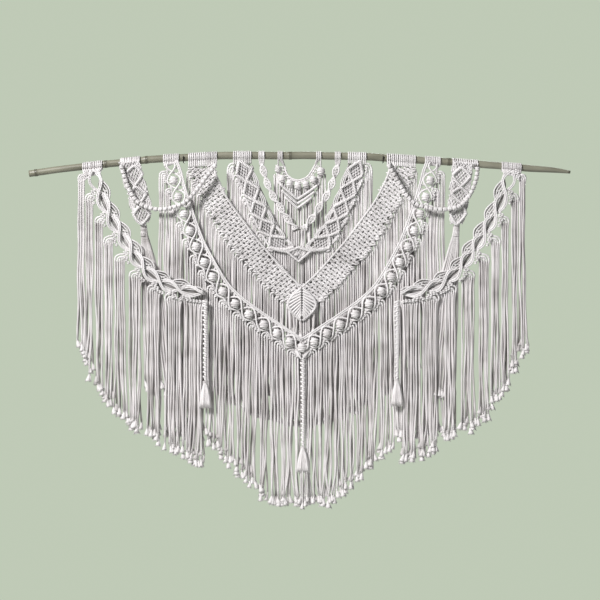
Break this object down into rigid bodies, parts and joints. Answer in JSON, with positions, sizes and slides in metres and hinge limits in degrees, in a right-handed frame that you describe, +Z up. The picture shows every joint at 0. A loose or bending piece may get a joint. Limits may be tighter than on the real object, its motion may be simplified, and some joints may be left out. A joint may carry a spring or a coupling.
{
  "type": "macrame wall hanging on a bamboo rod",
  "caption": "Wide macrame wall hanging of knotted off-white cotton bands, side swags, braids and long fringe, tied to a slightly bowed bamboo rod.",
  "frame": {"origin": "on the rod's centreline, on the hanging's line of symmetry", "axes": "+X along the rod to the viewer's right, +Y towards the wall, +Z up"},
  "size_m": [1.196, 0.0509, 0.7938],
  "materials": {
    "knotted_cotton": "matt twisted cotton cord, off-white",
    "fringe_cotton": "matt combed cotton strands, off-white",
    "bamboo": "satin dark bamboo",
    "hook_metal": "dark satin"
  },
  "bodies": {
    "root": {"swag_left": "knotted_cotton", "swag_right": "knotted_cotton", "tongue_left": "knotted_cotton", "tongue_right": "knotted_cotton", "berry_band": "knotted_cotton", "net_band": "knotted_cotton", "diamond_band": "knotted_cotton", "crescent": "knotted_cotton", "leaf": "knotted_cotton", "spiral_left": "knotted_cotton", "spiral_right": "knotted_cotton", "chain_left": "knotted_cotton", "chain_right": "knotted_cotton", "braid_left": "knotted_cotton", "braid_right": "knotted_cotton", "braid_centre": "knotted_cotton", "swag_fringe_left": "fringe_cotton", "swag_fringe_right": "fringe_cotton", "berry_fringe": "fringe_cotton", "net_fringe": "fringe_cotton", "diamond_fringe": "fringe_cotton", "crescent_fringe": "fringe_cotton", "spiral_fringe": "fringe_cotton", "leaf_fringe": "fringe_cotton", "tail_left": "fringe_cotton", "tail_right": "fringe_cotton", "tassel_left": "fringe_cotton", "tassel_right": "fringe_cotton", "tassel_centre": "fringe_cotton", "rod": "bamboo", "wall_hook_left": "hook_metal", "wall_hook_right": "hook_metal"}
  },
  "joints": []
}
